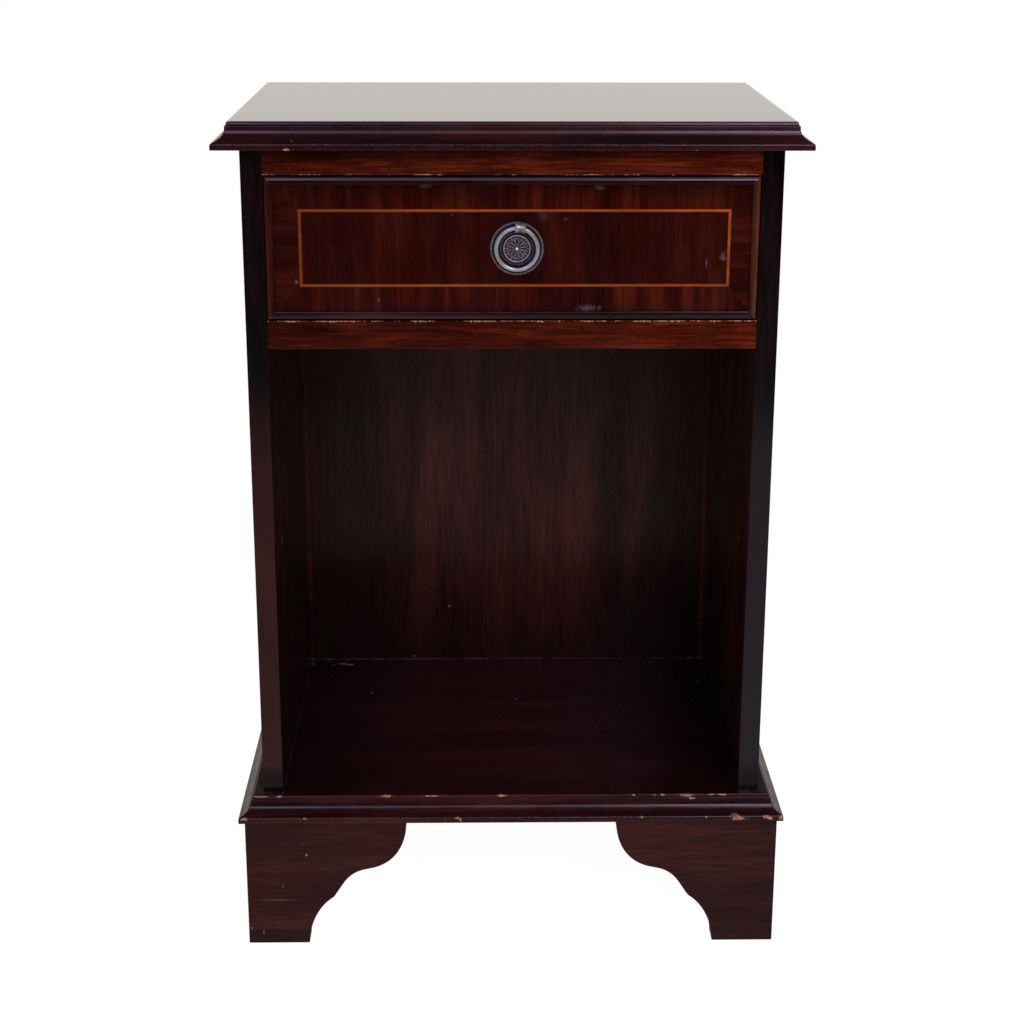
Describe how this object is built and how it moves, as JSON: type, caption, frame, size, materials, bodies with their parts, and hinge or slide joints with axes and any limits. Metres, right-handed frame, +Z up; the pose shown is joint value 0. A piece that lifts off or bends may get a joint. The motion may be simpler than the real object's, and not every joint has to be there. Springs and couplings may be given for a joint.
{
  "type": "bedside cabinet",
  "caption": "Bedside cabinet with an inlaid, beaded drawer and ring pull over an open compartment, moulded top and base boards, and ogee bracket feet.",
  "frame": {"origin": "on the floor under the middle of the cabinet's bounding box", "axes": "+Z up, the drawer front faces -Y, +X to the right of someone facing the drawer"},
  "size_m": [0.438, 0.309, 0.665],
  "materials": {
    "mahogany": "dark red-brown mahogany veneer under glossy lacquer",
    "mahogany_moulding": "near-black stained mahogany under glossy lacquer, worn to bare wood on the arrises",
    "mahogany_rail": "warm red-brown straight-grained mahogany, satin lacquer",
    "drawer_veneer": "dark figured mahogany veneer under glossy lacquer",
    "crossband_veneer": "cross-grained mahogany veneer under glossy lacquer",
    "boxwood": "orange boxwood line under lacquer",
    "cock_bead": "near-black stained half-round under glossy lacquer",
    "drawer_lining": "pale bare hardwood, waxed",
    "plywood": "bare thin plywood",
    "back_plywood": "dark stained thin plywood, straight grain, satin",
    "frame_softwood": "bare sawn softwood",
    "antique_brass": "grey antiqued brass, polished on the high places",
    "steel": "zinc plated steel"
  },
  "bodies": {
    "cabinet": {"top_board": "mahogany", "top_moulding_front": "mahogany_moulding", "top_moulding_left": "mahogany_moulding", "top_moulding_right": "mahogany_moulding", "side_panel_left": "mahogany", "side_panel_right": "mahogany", "back_panel": "back_plywood", "base_board": "mahogany", "base_moulding_front": "mahogany_moulding", "base_moulding_left": "mahogany_moulding", "base_moulding_right": "mahogany_moulding", "upper_front_rail": "mahogany_rail", "lower_front_rail": "mahogany_rail", "upper_back_rail": "frame_softwood", "lower_back_rail": "frame_softwood", "drawer_runner_left": "frame_softwood", "drawer_runner_right": "frame_softwood", "drawer_kicker_left": "frame_softwood", "drawer_kicker_right": "frame_softwood", "dust_board": "plywood", "drawer_stop_left": "frame_softwood", "drawer_stop_right": "frame_softwood", "foot_front_left_front_bracket": "mahogany", "foot_front_left_side_bracket": "mahogany", "foot_front_left_block": "frame_softwood", "foot_front_right_front_bracket": "mahogany", "foot_front_right_side_bracket": "mahogany", "foot_front_right_block": "frame_softwood", "foot_rear_left_side_bracket": "mahogany", "foot_rear_left_back_bracket": "mahogany", "foot_rear_left_block": "frame_softwood", "foot_rear_right_side_bracket": "mahogany", "foot_rear_right_back_bracket": "mahogany", "foot_rear_right_block": "frame_softwood"},
    "drawer": {"drawer_front": "mahogany", "centre_veneer": "drawer_veneer", "crossband_top": "crossband_veneer", "crossband_right": "crossband_veneer", "crossband_bottom": "crossband_veneer", "crossband_left": "crossband_veneer", "stringing_top": "boxwood", "stringing_right": "boxwood", "stringing_bottom": "boxwood", "stringing_left": "boxwood", "cock_bead_top": "cock_bead", "cock_bead_right": "cock_bead", "cock_bead_bottom": "cock_bead", "cock_bead_left": "cock_bead", "drawer_side_left": "drawer_lining", "drawer_side_right": "drawer_lining", "drawer_back": "drawer_lining", "drawer_bottom": "plywood", "handle_backplate": "antique_brass", "handle_clip": "antique_brass", "handle_bolt": "antique_brass", "handle_washer": "steel", "handle_nut": "steel"},
    "ring": {"handle_ring": "antique_brass"}
  },
  "joints": [
    {"name": "drawer_slide", "type": "slide", "parent": "cabinet", "child": "drawer", "axis": [0, -1, 0], "range_m": [0, 0.2]},
    {"name": "ring_swing", "type": "hinge", "parent": "drawer", "child": "ring", "pos_m": [0.00581, -0.13675, 0.58629], "axis": [-0.9863, 0, 0.165], "range_deg": [0, 160]}
  ]
}
